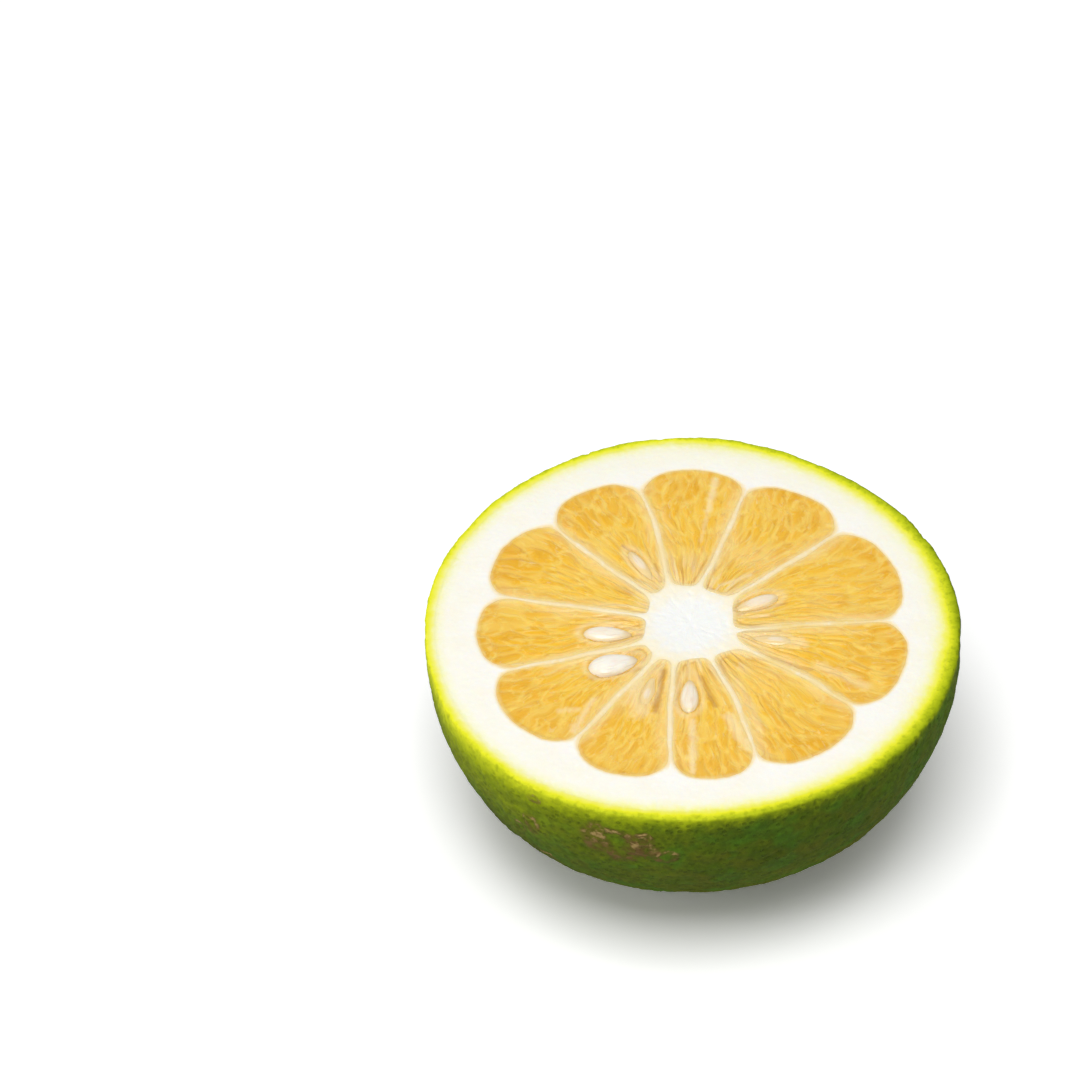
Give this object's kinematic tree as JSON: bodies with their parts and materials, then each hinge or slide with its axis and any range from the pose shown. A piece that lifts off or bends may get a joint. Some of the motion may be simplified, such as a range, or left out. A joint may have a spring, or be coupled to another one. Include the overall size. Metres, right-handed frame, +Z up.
{
  "type": "sour orange half",
  "caption": "Half of a sour orange cut across its middle, green skin and white pith round orange wedges with seeds, lying cut face up on its rounded end.",
  "frame": {"origin": "centre of the small flat spot at the bottom of the rounded end, which the half rests on", "axes": "+Z up, square to the level cut face; +X to the right and +Y to the back as seen from the front"},
  "size_m": [0.0754, 0.0754, 0.0369],
  "materials": {
    "skin": "semi-matt green rind with fine oil pores",
    "pith": "matt, spongy, cream white",
    "flesh": "wet, translucent yellow-orange juice cells",
    "seed": "smooth, moist, cream"
  },
  "bodies": {
    "root": {"skin": "skin", "pith": "pith", "segment_01": "flesh", "segment_02": "flesh", "segment_03": "flesh", "segment_04": "flesh", "segment_05": "flesh", "segment_06": "flesh", "segment_07": "flesh", "segment_08": "flesh", "segment_09": "flesh", "segment_10": "flesh", "segment_11": "flesh", "seed_01": "seed", "seed_02": "seed", "seed_03": "seed", "seed_04": "seed", "seed_05": "seed", "seed_06": "seed", "seed_07": "seed"}
  },
  "joints": []
}
